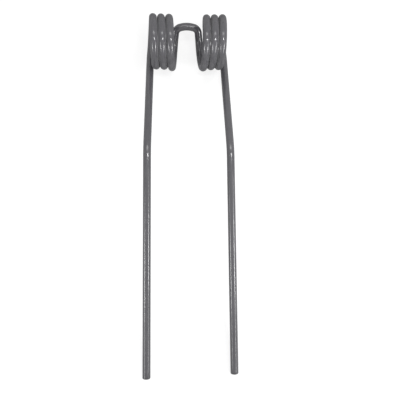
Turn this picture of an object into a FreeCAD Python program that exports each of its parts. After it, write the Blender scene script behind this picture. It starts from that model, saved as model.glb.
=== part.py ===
import FreeCAD, Part
import math
import os

# Rake tine: a sprung double tooth bent from one length of round wire. Two close coils sit
# side by side, joined at their inner ends by a loop that a clamp holds, and a long leg
# with a knee runs from the outer end of each coil to a flat-cut tip.
#
# While it is built, X runs along the coils, Y from the tips towards the loop and Z out of
# the front. An angle round a coil is 0 at the back, 90 on the loop's side and 180 in front.

Vector = FreeCAD.Vector

doc = FreeCAD.newDocument("RakeTine")

SIZES = (
    ("wire_dia", 9.5, "diameter of the spring wire"),
    ("tip_round", 1.2, "rounding of the edge of each cut tip"),
    ("coil_radius", 28.9, "middle of the wire to the coil's axis"),
    ("turn_gap", 0.4, "clear gap between neighbouring turns"),
    ("whole_turns", 3, "whole turns in each coil"),
    ("coil_tilt", 1.4, "each coil's axis rises outwards by this angle"),
    ("bends_per_turn", 8, "tangent bends that make up each turn"),
    ("turn_opening", 0.9, "how much larger the last turn's radius is"),
    ("opening_angle", 160, "where round the coil the last turn starts to open"),
    ("loop_exit_angle", 20.5, "how far past the back the wire leaves for the loop"),
    ("loop_set_angle", 14.5, "extra forward bend of the loop where it leaves"),
    ("loop_set_radius", 15, "radius of that bend"),
    ("loop_taper", 6.5, "how far each side of the loop leans inwards"),
    ("loop_side", 7.5, "straight part of each side of the loop"),
    ("loop_corner_radius", 8.2, "bend at each corner of the loop"),
    ("loop_crown_radius", 31, "large bend over the top of the loop"),
    ("loop_crown_angle", 17, "half of the angle of that bend"),
    ("leg_exit_angle", 21, "how far before the back a leg leaves its coil"),
    ("leg_exit_radius", 60, "slight bend that squares the leg to the coil"),
    ("upper_leg", 122, "straight part of a leg above the knee"),
    ("knee_angle", 20, "bend at the knee, towards the back"),
    ("knee_radius", 56, "radius of the knee"),
    ("toe_in", 0.9, "how far the lower legs turn in at the knee"),
    ("lower_leg", 263, "straight part of the right leg below the knee"),
    ("left_leg_extra", 3, "how much longer the left leg is"),
)

sheet = doc.addObject("Spreadsheet::Sheet", "Sizes")
for row, (alias, value, note) in enumerate(SIZES, start=1):
    sheet.set(f"A{row}", note)
    sheet.set(f"B{row}", str(value))
    sheet.setAlias(f"B{row}", alias)
doc.recompute()


def size(alias):
    return float(sheet.get(alias))


def sine(degrees):
    return math.sin(math.radians(degrees))


def cosine(degrees):
    return math.cos(math.radians(degrees))


class Coil:
    """The lie of one coil: where its axis points, and the way the wire runs round it."""

    def __init__(self, side):
        tilt = size("coil_tilt")
        self.side = side
        self.axis = Vector(side * cosine(tilt), sine(tilt), 0)
        self.across = Vector(-side * sine(tilt), cosine(tilt), 0)
        self.front = Vector(0, 0, 1)

    def outwards(self, angle):
        return self.across * sine(angle) - self.front * cosine(angle)

    def along(self, angle):
        """The wire's direction round the coil on its way out to the leg."""
        return -self.across * cosine(angle) - self.front * sine(angle)

    def heading(self, angle, slope):
        return self.along(angle) * cosine(slope) + self.axis * sine(slope)


class Wire:
    """The middle line of the wire, laid as it is formed: straight runs, bends and turns,
    each starting in the direction in which the one before it ends."""

    def __init__(self, start, heading):
        self.end = start
        self.heading = heading
        self.edges = []

    def straight(self, length):
        start = self.end
        self.end = start + self.heading * length
        self.edges.append(Part.LineSegment(start, self.end).toShape())

    def bend(self, heading, radius):
        turn = math.degrees(self.heading.getAngle(heading))
        inwards = heading - self.heading * self.heading.dot(heading)
        inwards.normalize()

        def point(angle):
            ahead = self.heading * (radius * sine(angle))
            return start + ahead + inwards * (radius * (1 - cosine(angle)))

        start = self.end
        self.end = point(turn)
        self.edges.append(Part.Arc(start, point(turn / 2), self.end).toShape())
        self.heading = heading

    def turns(self, coil, radius, first, last):
        """A helix of short bends, from the angle first down to the angle last. The bends
        meet on the true helix, and each starts along the end of the one before."""
        count = round((first - last) * size("bends_per_turn") / 360)
        step = (first - last) / count
        pitch = (size("wire_dia") + size("turn_gap")) * radius / size("coil_radius")
        rise = pitch * step / 360
        chord = 2 * radius * sine(step / 2)
        slope = math.degrees(math.atan2(rise * cosine(step / 2), chord))
        turn = coil.heading(step, slope).getAngle(coil.heading(0, slope))
        bend_radius = math.hypot(chord, rise) / (2 * math.sin(turn / 2))
        for number in range(1, count + 1):
            self.bend(coil.heading(first - step * number, slope), bend_radius)


def half(side, lower_leg):
    """One half of the tine, from the middle of the loop out to the tip of the leg."""
    coil = Coil(side)
    slope = math.degrees(
        math.atan2(size("wire_dia") + size("turn_gap"), 2 * math.pi * size("coil_radius"))
    )
    full_turns = 360 * size("whole_turns")
    loop_exit = full_turns + size("loop_exit_angle")
    opening = full_turns - 360 + size("opening_angle")
    leg_exit = -size("leg_exit_angle")

    # The loop lies in one plane, which leans forwards.
    lean = size("loop_exit_angle") + size("loop_set_angle")
    loop_out = Vector(side, 0, 0)
    loop_down = Vector(0, -cosine(lean), -sine(lean))
    crown = size("loop_crown_angle")
    taper = size("loop_taper")
    wire = Wire(Vector(0, 0, 0), loop_out)
    wire.bend(loop_out * cosine(crown) + loop_down * sine(crown), size("loop_crown_radius"))
    wire.bend(loop_out * sine(taper) + loop_down * cosine(taper), size("loop_corner_radius"))
    wire.straight(size("loop_side"))

    wire.bend(coil.heading(loop_exit, slope), size("loop_set_radius"))
    wire.turns(coil, size("coil_radius") + size("turn_opening"), loop_exit, opening)
    wire.turns(coil, size("coil_radius"), opening, leg_exit)

    # Each leg leaves square to its coil, and the knee brings it back towards the floor.
    wire.bend(coil.heading(leg_exit, 0), size("leg_exit_radius"))
    wire.straight(size("upper_leg"))
    wire.bend(coil.heading(leg_exit + size("knee_angle"), -size("toe_in")), size("knee_radius"))
    wire.straight(lower_leg)
    return wire


right = half(1, size("lower_leg"))
left = half(-1, size("lower_leg") + size("left_leg_extra"))

centreline = doc.addObject("Part::Feature", "centreline")
centreline.Shape = Part.Wire(Part.__sortEdges__(left.edges + right.edges))

section = doc.addObject("Part::Circle", "wire_section")
section.setExpression("Radius", "Sizes.wire_dia / 2")
section.Placement = FreeCAD.Placement(
    left.end, FreeCAD.Rotation(Vector(0, 0, 1), Vector(), left.heading, "ZXY")
)

bent_wire = doc.addObject("Part::Sweep", "bent_wire")
bent_wire.Sections = [section]
bent_wire.Spine = (
    centreline,
    [f"Edge{number}" for number in range(1, len(centreline.Shape.Edges) + 1)],
)
bent_wire.Solid = True
doc.recompute()

# The tips are cut square and their edges rounded.
tine = doc.addObject("Part::Fillet", "rake_tine")
tine.Base = bent_wire
tip_round = size("tip_round")
tine.Edges = [
    (number, tip_round, tip_round)
    for number, edge in enumerate(bent_wire.Shape.Edges, start=1)
    if min(edge.CenterOfMass.distanceToPoint(tip) for tip in (left.end, right.end)) < 0.01
]
tine.Label = "rake_tine"
doc.recompute()

# At rest it lies on the backs of the coils and on the tips, with its front up. The origin
# is on the floor, under the middle of the box round the whole tine.
floor_angle = max(
    math.degrees(math.atan2(tip.z - point.z, point.y - tip.y))
    for tip in (left.end, right.end)
    for wire in (left, right)
    for edge in wire.edges
    for point in edge.discretize(Distance=2)
    if point.y - tip.y > size("lower_leg")
)
lying = FreeCAD.Rotation(Vector(1, 0, 0), floor_angle)
tine.Placement = FreeCAD.Placement(Vector(0, 0, 0), lying)
box = tine.Shape.optimalBoundingBox(False, False)
tine.Placement = FreeCAD.Placement(
    Vector(-box.Center.x, -box.Center.y, -box.ZMin), lying
)
doc.recompute()

for item in doc.Objects:
    if "Invalid" in item.State or "Error" in item.State:
        raise RuntimeError(f"{item.Name} is {item.State}")
if tine.Shape.isNull() or not tine.Shape.isValid() or len(tine.Shape.Solids) != 1:
    raise RuntimeError("the tine isn't one valid solid")

length = sum(edge.Length for edge in centreline.Shape.Edges)
print(f"wire length {length:.1f}, volume {tine.Shape.Volume:.0f}", end=", ")
print(f"section times length {math.pi * size('wire_dia') ** 2 / 4 * length:.0f}")
print(f"lies at {floor_angle:.2f} degrees, size {box.XLength:.2f} {box.YLength:.2f} {box.ZLength:.2f}")

os.makedirs("parts", exist_ok=True)
tine.Shape.exportStep(f"parts/{tine.Label}.step")
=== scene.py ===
import math

import bmesh
import bpy
from mathutils import Matrix, Vector
from mathutils.kdtree import KDTree


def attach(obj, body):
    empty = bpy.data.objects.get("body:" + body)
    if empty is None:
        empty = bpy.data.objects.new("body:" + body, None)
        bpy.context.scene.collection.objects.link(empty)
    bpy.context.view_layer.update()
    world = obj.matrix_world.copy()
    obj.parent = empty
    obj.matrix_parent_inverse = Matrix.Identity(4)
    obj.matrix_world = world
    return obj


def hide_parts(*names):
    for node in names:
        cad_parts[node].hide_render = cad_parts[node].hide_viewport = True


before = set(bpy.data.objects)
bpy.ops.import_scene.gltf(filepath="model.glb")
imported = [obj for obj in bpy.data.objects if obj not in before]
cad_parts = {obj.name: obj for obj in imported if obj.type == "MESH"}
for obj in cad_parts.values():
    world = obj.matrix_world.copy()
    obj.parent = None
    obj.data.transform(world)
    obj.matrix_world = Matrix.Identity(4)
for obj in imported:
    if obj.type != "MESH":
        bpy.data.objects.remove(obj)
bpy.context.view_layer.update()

# The wire: one length of round spring steel, drawn to size through a die. It is bent cold
# from the middle of the loop outwards, and every bend starts in the direction in which the
# run before it ends. Each point of its skin also keeps its place on the straight wire.
MM = 0.001
WIRE_RADIUS = 4.75 * MM
POINTS_ROUND_WIRE = 48
LONGEST_BEND_STEP = math.radians(4)
LONGEST_STRAIGHT_STEP = 10 * MM
FRONT = Vector((0, 0, 1))

steel = bmesh.new()
on_straight_wire = steel.verts.layers.float_vector.new("on_straight_wire")


class Wire:
    """A ring of points that goes along the middle line and leaves the wire's skin behind."""

    def __init__(self, side):
        self.side = side
        self.end = Vector((0, 0, 0))
        self.heading = Vector((side, 0, 0))
        self.laid = 0.0
        self.middle_line = [(self.end.copy(), 0.0)]
        square_to_wire = self.heading.to_track_quat("Z", "Y").to_matrix()
        self.points = bmesh.ops.create_circle(
            steel, segments=POINTS_ROUND_WIRE, radius=WIRE_RADIUS, matrix=square_to_wire.to_4x4()
        )["verts"]
        self.rim = list(dict.fromkeys(edge for point in self.points for edge in point.link_edges))
        self.passed = set()
        for point in self.points:
            across = square_to_wire.inverted() @ point.co
            point[on_straight_wire] = (side * across.x, across.y, 0)

    def lay(self, run, steps, forwards, centre, axis, angle):
        """Takes the ring on in equal steps, each turned round the axis and moved forwards."""
        spun = bmesh.ops.spin(
            steel, geom=self.points + self.rim, cent=centre, axis=axis, dvec=forwards,
            angle=angle, steps=steps, use_merge=False, use_normal_flip=False,
            use_duplicate=False,
        )["geom_last"]
        self.rim = [item for item in spun if isinstance(item, bmesh.types.BMEdge)]
        by_one_step = Matrix.Rotation(angle / steps, 3, axis)
        for _ in range(steps):
            self.passed.update(self.points)
            self.points = [
                next(v for v in (e.other_vert(p) for e in p.link_edges) if v not in self.passed)
                for p in self.points
            ]
            self.end = centre + by_one_step @ (self.end - centre) + forwards
            self.heading = by_one_step @ self.heading
            self.laid += run / steps
            self.middle_line.append((self.end.copy(), self.side * self.laid))
            for point in self.points:
                point[on_straight_wire].z = self.side * self.laid

    def straight(self, length):
        steps = max(1, round(length / LONGEST_STRAIGHT_STEP))
        self.lay(length, steps, self.heading * (length / steps), self.end, FRONT, 0.0)

    def turn(self, centre, axis, angle, rise=0.0):
        """Bends the wire round the axis, and lets it rise along the axis meanwhile."""
        steps = max(1, math.ceil(angle / LONGEST_BEND_STEP))
        to_end = self.end - centre
        radius = (to_end - axis * to_end.dot(axis)).length
        run = math.hypot(radius * angle, rise)
        self.lay(run, steps, axis * (rise / steps), centre, axis, angle)

    def bend(self, heading, radius):
        axis = self.heading.cross(heading).normalized()
        centre = self.end + axis.cross(self.heading) * radius
        self.turn(centre, axis, self.heading.angle(heading))


# The loop in the middle: a flat-topped arch that a clamp bolt holds to the tine bar. It is
# formed first, round a mandrel, and leans forwards out of the backs of the coils.
LOOP_CROWN_RADIUS = 31 * MM
LOOP_CROWN_ANGLE = math.radians(17)
LOOP_CORNER_RADIUS = 8.2 * MM
LOOP_TAPER = math.radians(6.5)
LOOP_SIDE = 7.5 * MM
LOOP_EXIT_ANGLE = math.radians(20.5)
LOOP_SET_ANGLE = math.radians(14.5)
LOOP_SET_RADIUS = 15 * MM


def form_loop(wire):
    lean = LOOP_EXIT_ANGLE + LOOP_SET_ANGLE
    out = Vector((wire.side, 0, 0))
    down = Vector((0, -math.cos(lean), -math.sin(lean)))
    crown_end = out * math.cos(LOOP_CROWN_ANGLE) + down * math.sin(LOOP_CROWN_ANGLE)
    wire.bend(crown_end, LOOP_CROWN_RADIUS)
    wire.bend(out * math.sin(LOOP_TAPER) + down * math.cos(LOOP_TAPER), LOOP_CORNER_RADIUS)
    wire.straight(LOOP_SIDE)


# The coils: three close turns each, wound the opposite way on either side of the loop, so
# that both legs spring the same way. The last turn before the loop is a little wider. An
# angle round a coil is 0 at the back, 90 degrees on the loop's side and 180 in front.
COIL_RADIUS = 28.9 * MM
COIL_TILT = math.radians(1.4)
WHOLE_TURNS = math.radians(3 * 360)
TURN_GAP = 0.4 * MM
TURN_OPENING = 0.9 * MM
OPENING_ANGLE = math.radians(2 * 360 + 160)
LEG_EXIT_ANGLE = math.radians(21)
PITCH = 2 * WIRE_RADIUS + TURN_GAP
SLOPE = math.atan2(PITCH, math.tau * COIL_RADIUS)


def coil_axis(side):
    return Vector((side * math.cos(COIL_TILT), math.sin(COIL_TILT), 0))


def from_axis(side, angle):
    loopwards = Vector((-side * math.sin(COIL_TILT), math.cos(COIL_TILT), 0))
    return loopwards * math.sin(angle) - FRONT * math.cos(angle)


def round_coil(side, angle):
    """The way the wire runs at that angle, on its way from the loop to the leg."""
    return from_axis(side, angle - math.pi / 2)


def wind(wire, radius, first, last):
    side = wire.side
    rise = PITCH * radius / COIL_RADIUS * (first - last) / math.tau
    centre = wire.end - from_axis(side, first) * radius
    wire.turn(centre, -side * coil_axis(side), first - last, -side * rise)


def wind_coil(wire):
    side = wire.side
    first = WHOLE_TURNS + LOOP_EXIT_ANGLE
    onto_helix = round_coil(side, first) * math.cos(SLOPE) + coil_axis(side) * math.sin(SLOPE)
    wire.bend(onto_helix, LOOP_SET_RADIUS)
    wind(wire, COIL_RADIUS + TURN_OPENING, first, OPENING_ANGLE)
    wind(wire, COIL_RADIUS, OPENING_ANGLE, -LEG_EXIT_ANGLE)


# The legs: they leave the backs of the coils square to the axes, run down and forwards to a
# knee, and go on straight from there. The left one is 3 mm longer than the right one.
LEG_EXIT_RADIUS = 60 * MM
UPPER_LEG = 122 * MM
KNEE_ANGLE = math.radians(20)
KNEE_RADIUS = 56 * MM
TOE_IN = math.radians(0.9)
LOWER_LEG = {1: 263 * MM, -1: 266 * MM}


def bend_leg(wire):
    side = wire.side
    wire.bend(round_coil(side, -LEG_EXIT_ANGLE), LEG_EXIT_RADIUS)
    wire.straight(UPPER_LEG)
    down = round_coil(side, KNEE_ANGLE - LEG_EXIT_ANGLE)
    wire.bend(down * math.cos(TOE_IN) - coil_axis(side) * math.sin(TOE_IN), KNEE_RADIUS)
    wire.straight(LOWER_LEG[side])


# The tips: sheared off square, with the sharp edge rounded before the tine is coated.
TIP_ROUND = 1.2 * MM
TIP_FACE_STEPS = 3


def cut_tip(wire):
    start = wire.points[0]
    across, up, _ = start[on_straight_wire]
    turned = math.atan2(up, wire.side * across)
    sideways = (start.co - wire.end).normalized()
    upwards = wire.heading.cross(sideways)
    local_x = sideways * math.cos(turned) - upwards * math.sin(turned)
    local_y = sideways * math.sin(turned) + upwards * math.cos(turned)

    bmesh.ops.edgeloop_fill(steel, edges=wire.rim)
    rounded = bmesh.ops.bevel(
        steel, geom=wire.rim, offset=TIP_ROUND, offset_type="OFFSET", segments=8, profile=0.5,
        affect="EDGES", material=-1, clamp_overlap=True,
    )
    tip_points = set(rounded["verts"])
    cut = max((f for v in tip_points for f in v.link_faces), key=lambda f: len(f.verts))
    for _ in range(TIP_FACE_STEPS):
        step = (WIRE_RADIUS - TIP_ROUND) / (TIP_FACE_STEPS + 1)
        bmesh.ops.inset_region(steel, faces=[cut], thickness=step, use_even_offset=True)
        tip_points.update(cut.verts)
    for point in tip_points:
        place = point.co - wire.end
        point[on_straight_wire] = (
            wire.side * place.dot(local_x),
            place.dot(local_y),
            wire.side * (wire.laid + place.dot(wire.heading)),
        )


wires = [Wire(1), Wire(-1)]
for wire in wires:
    form_loop(wire)
    wind_coil(wire)
    bend_leg(wire)
    cut_tip(wire)
bmesh.ops.remove_doubles(steel, verts=steel.verts, dist=0.001 * MM)
bmesh.ops.recalc_face_normals(steel, faces=steel.faces)

# How it lies: on the backs of the coils and the longer leg's tip, with its front up. Where
# two turns nearly touch, the skin is marked, and so is the skin near the rims of the tips.
below_coils = [
    (wire.end, point)
    for wire in wires
    for point, _ in wires[0].middle_line + wires[1].middle_line
    if point.y - wire.end.y > LOWER_LEG[1]
]
lean = max(math.atan2(tip.z - point.z, point.y - tip.y) for tip, point in below_coils)
bmesh.ops.rotate(
    steel, verts=steel.verts, cent=(0, 0, 0), matrix=Matrix.Rotation(lean, 3, "X")
)
lowest = Vector([min(v.co[i] for v in steel.verts) for i in range(3)])
highest = Vector([max(v.co[i] for v in steel.verts) for i in range(3)])
middle = (lowest + highest) / 2
to_floor = Vector((-middle.x, -middle.y, -lowest.z))
bmesh.ops.translate(steel, verts=steel.verts, vec=to_floor)

OTHER_RUN = 40 * MM
CLOSE = 4 * MM
WORN_LENGTH = 9 * MM
between_turns = steel.verts.layers.float.new("between_turns")
near_tip = steel.verts.layers.float.new("near_tip")
lie = Matrix.Translation(to_floor) @ Matrix.Rotation(lean, 4, "X")
middle_line = [(lie @ point, laid) for wire in wires for point, laid in wire.middle_line]
tree = KDTree(len(middle_line))
for number, (point, laid) in enumerate(middle_line):
    tree.insert(point, number)
tree.balance()
for point in steel.verts:
    laid = point[on_straight_wire].z
    gaps = [
        distance - WIRE_RADIUS
        for _, number, distance in tree.find_range(point.co, WIRE_RADIUS + CLOSE)
        if abs(middle_line[number][1] - laid) > OTHER_RUN
    ]
    point[between_turns] = 1 - min(gaps) / CLOSE if gaps else 0
    to_tip = wires[0 if laid > 0 else 1].laid - abs(laid)
    point[near_tip] = max(0, 1 - to_tip / WORN_LENGTH)

skin = bpy.data.meshes.new("bent_wire")
steel.to_mesh(skin)
steel.free()
for face in skin.polygons:
    face.use_smooth = True
bent_wire = bpy.data.objects.new("bent_wire", skin)
bpy.context.scene.collection.objects.link(bent_wire)
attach(bent_wire, "root")
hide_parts("rake_tine")

# The coating: a thin semi-gloss grey, sprayed on and baked after bending. It is a little
# uneven in shade, has a fine skin like an orange's, and lets the wire's drawn lines through.
# It is dull at a glancing angle and between the turns, and thin on the rims of the tips. In the
# grooves between the turns a paler grey is painted light, which lifts the shade there.
GREY = (0.0695, 0.068, 0.0755, 1)
PALER_GREY = (0.085, 0.083, 0.091, 1)
# Painted light: a paler grey for the grooves between the turns, lifting the shade that falls there.
GROOVE_PAINTED_LIGHT_GREY = (0.28, 0.28, 0.285, 1)
RUBBED_GREY = (0.05, 0.05, 0.052, 1)
BROAD_PATCHES = 38
FINE_PATCHES = 420
SKIN_DIMPLES = 780
DRAWN_LINES = 1500
LINE_LENGTH_SCALE = 0.015
DRAWN_DEPTH = 0.01 * MM
DIMPLE_DEPTH = 0.02 * MM

coating = bpy.data.materials.new("grey_coating")
coating.use_nodes = True
nodes = coating.node_tree.nodes
links = coating.node_tree.links
coat = nodes["Principled BSDF"]


def fill(socket, value):
    if isinstance(value, bpy.types.NodeSocket):
        links.new(value, socket)
    else:
        socket.default_value = value


def put(kind, settings=None, **sockets):
    node = nodes.new(kind)
    for name, value in (settings or {}).items():
        setattr(node, name, value)
    for name, value in sockets.items():
        fill(node.inputs[name.replace("_", " ")], value)
    return node


def noise(place, scale, detail=2.0, roughness=0.5):
    return put(
        "ShaderNodeTexNoise", Vector=place, Scale=scale, Detail=detail, Roughness=roughness
    ).outputs["Fac"]


def spread(value, low, high, to_low=0.0, to_high=1.0):
    return put(
        "ShaderNodeMapRange", {"clamp": True},
        Value=value, From_Min=low, From_Max=high, To_Min=to_low, To_Max=to_high,
    ).outputs["Result"]


def combine(operation, first, second):
    node = nodes.new("ShaderNodeMath")
    node.operation = operation
    fill(node.inputs[0], first)
    fill(node.inputs[1], second)
    return node.outputs[0]


def shade(amount, under, over):
    node = nodes.new("ShaderNodeMix")
    node.data_type = "RGBA"
    fill(node.inputs[0], amount)
    fill(node.inputs[6], under)
    fill(node.inputs[7], over)
    return node.outputs[2]


place = nodes.new("ShaderNodeTexCoord").outputs["Object"]
straight_place = put("ShaderNodeAttribute", {"attribute_name": "on_straight_wire"}).outputs["Vector"]
turns_mark = put("ShaderNodeAttribute", {"attribute_name": "between_turns"}).outputs["Fac"]
tip_mark = put("ShaderNodeAttribute", {"attribute_name": "near_tip"}).outputs["Fac"]
drawn_place = put(
    "ShaderNodeMapping", {"vector_type": "POINT"},
    Vector=straight_place, Scale=(1, 1, LINE_LENGTH_SCALE),
).outputs["Vector"]

broad_shade = noise(place, BROAD_PATCHES, 3)
fine_shade = noise(place, FINE_PATCHES, 4, 0.6)
drawn_lines = noise(drawn_place, DRAWN_LINES, 2)
orange_skin = noise(place, SKIN_DIMPLES, 2, 0.45)

uneven = combine("ADD", combine("MULTIPLY", broad_shade, 0.6), combine("MULTIPLY", fine_shade, 0.4))
grey = shade(spread(uneven, 0.38, 0.62), GREY, PALER_GREY)
# Painted light: the grooves between the turns get the paler grey, which lifts their shade.
in_groove = spread(combine("ADD", turns_mark, combine("MULTIPLY", fine_shade, 0.3)), 0.5, 1.1)
grey = shade(in_groove, grey, GROOVE_PAINTED_LIGHT_GREY)
rubbed = spread(combine("ADD", tip_mark, combine("MULTIPLY", fine_shade, 0.9)), 1.05, 1.45)
grey = shade(rubbed, grey, RUBBED_GREY)
links.new(grey, coat.inputs["Base Color"])

dullness = spread(broad_shade, 0.3, 0.7, 0.12, 0.16)
dullness = combine("ADD", dullness, combine("MULTIPLY", in_groove, 0.15))
glancing = put("ShaderNodeLayerWeight", Blend=0.5).outputs["Facing"]
dullness = combine("ADD", dullness, spread(glancing, 0.25, 0.6, 0.0, 0.5))
links.new(dullness, coat.inputs["Roughness"])
coat.inputs["Metallic"].default_value = 0
coat.inputs["Specular IOR Level"].default_value = 0.6

drawn = put(
    "ShaderNodeBump", Strength=0.1, Distance=DRAWN_DEPTH, Height=drawn_lines
).outputs["Normal"]
peel = put(
    "ShaderNodeBump", Strength=0.05, Distance=DIMPLE_DEPTH, Height=orange_skin, Normal=drawn
).outputs["Normal"]
links.new(peel, coat.inputs["Normal"])
skin.materials.append(coating)

# The floor: a wide pale sheet, which keeps the shadow. It looks white to the camera and in
# reflections, and so does the studio round it.
FLOOR_SIZE = 8
FLOOR_GREY = (0.25, 0.25, 0.25, 1)
FLOOR_GLOW = 0.8
floor_mesh = bpy.data.meshes.new("floor")
sheet = bmesh.new()
bmesh.ops.create_grid(sheet, x_segments=1, y_segments=1, size=FLOOR_SIZE / 2)
sheet.to_mesh(floor_mesh)
sheet.free()
floor = bpy.data.objects.new("floor", floor_mesh)
bpy.context.scene.collection.objects.link(floor)


def seen_directly(tree):
    """1 where the camera looks, straight on, in a reflection or through something."""
    path = tree.nodes.new("ShaderNodeLightPath")
    total = path.outputs["Is Camera Ray"]
    for name in ("Is Glossy Ray", "Is Transmission Ray"):
        adding = tree.nodes.new("ShaderNodeMath")
        adding.operation = "MAXIMUM"
        tree.links.new(total, adding.inputs[0])
        tree.links.new(path.outputs[name], adding.inputs[1])
        total = adding.outputs[0]
    return total


pale = bpy.data.materials.new("pale_floor")
pale.use_nodes = True
pale_sheet = pale.node_tree.nodes["Principled BSDF"]
pale_sheet.inputs["Base Color"].default_value = FLOOR_GREY
pale_sheet.inputs["Roughness"].default_value = 0.9
pale_sheet.inputs["Specular IOR Level"].default_value = 0
pale_sheet.inputs["Emission Color"].default_value = (1, 1, 1, 1)
glow = pale.node_tree.nodes.new("ShaderNodeMath")
glow.operation = "MULTIPLY"
pale.node_tree.links.new(seen_directly(pale.node_tree), glow.inputs[0])
glow.inputs[1].default_value = FLOOR_GLOW
pale.node_tree.links.new(glow.outputs[0], pale_sheet.inputs["Emission Strength"])
floor_mesh.materials.append(pale)

# The light: a pale studio, brightest overhead, a long light on each side, whose streaks run
# down the turns and the legs, and two short strips across, a bright one and a faint one,
# whose spots show on every turn and on the knees. A height is 1 straight overhead.
SIDEWAYS_LIGHT = 0.12
OVERHEAD_LIGHT = 0.85
DIM_BELOW = 0.5
BRIGHT_ABOVE = 0.95
studio = bpy.data.worlds.new("studio")
studio.use_nodes = True
bpy.context.scene.world = studio
room = studio.node_tree
around = room.nodes["Background"]
around.inputs["Color"].default_value = (1, 1, 1, 1)

height = room.nodes.new("ShaderNodeSeparateXYZ")
room.links.new(
    room.nodes.new("ShaderNodeTexCoord").outputs["Generated"], height.inputs["Vector"]
)
overhead = room.nodes.new("ShaderNodeMapRange")
room.links.new(height.outputs["Z"], overhead.inputs["Value"])
overhead.inputs["From Min"].default_value = DIM_BELOW
overhead.inputs["From Max"].default_value = BRIGHT_ABOVE
overhead.inputs["To Min"].default_value = SIDEWAYS_LIGHT
overhead.inputs["To Max"].default_value = OVERHEAD_LIGHT

seen = room.nodes.new("ShaderNodeMapRange")
room.links.new(seen_directly(room), seen.inputs["Value"])
room.links.new(overhead.outputs["Result"], seen.inputs["To Min"])
seen.inputs["To Max"].default_value = 1
room.links.new(seen.outputs["Result"], around.inputs["Strength"])

TOWARDS_LOOP = Vector((0, 1, 0))


def hang_light(name, place, aim, width, length, brightness):
    """A flat light that faces its aim, with its length along the tine's."""
    lamp = bpy.data.lights.new(name, "AREA")
    lamp.shape = "RECTANGLE"
    lamp.size = width
    lamp.size_y = length
    lamp.energy = brightness * math.pi * width * length
    towards = (Vector(place) - Vector(aim)).normalized()
    sideways = TOWARDS_LOOP.cross(towards).normalized()
    turn = Matrix((sideways, towards.cross(sideways), towards)).transposed().to_4x4()
    holder = bpy.data.objects.new(name, lamp)
    holder.matrix_world = Matrix.Translation(place) @ turn
    holder.visible_camera = False
    bpy.context.scene.collection.objects.link(holder)


KNEES = (0, 0.03, 0.04)
COILS = (0, 0.185, 0.05)
hang_light("right_light", (0.445, -0.164, 0.338), KNEES, 0.093, 0.175, 16)
hang_light("right_light_ends", (0.45, -0.22, 0.344), KNEES, 0.093, 0.52, 8)
hang_light("left_light", (-0.588, -0.225, 0.358), KNEES, 0.136, 0.19, 10)
hang_light("left_light_ends", (-0.594, -0.26, 0.364), KNEES, 0.136, 0.51, 6)
hang_light("bright_strip", (0.175, 0.0835, 0.545), COILS, 0.3, 0.042, 25)
hang_light("faint_strip", (0.08, 0.331, 0.744), COILS, 0.58, 0.13, 4.5)

# The camera: over the tine, a little towards its tips, as in a catalogue picture.
EYE = Vector((-24.3, -94.3, 630.4)) * MM
VIEW = Vector((0.0613, 0.1382, -0.9885)).normalized()
ROLL = math.radians(-0.88)
right = VIEW.cross(TOWARDS_LOOP).normalized()
up = right.cross(VIEW)
facing = Matrix((right, up, -VIEW)).transposed() @ Matrix.Rotation(ROLL, 3, "Z")

lens = bpy.data.cameras.new("camera")
lens.sensor_fit = "HORIZONTAL"
lens.sensor_width = 36
lens.lens = 45
lens.clip_start = 0.01
camera = bpy.data.objects.new("camera", lens)
camera.matrix_world = Matrix.Translation(EYE) @ facing.to_4x4()
bpy.context.scene.collection.objects.link(camera)
bpy.context.scene.camera = camera
bpy.context.scene.view_settings.view_transform = "Standard"
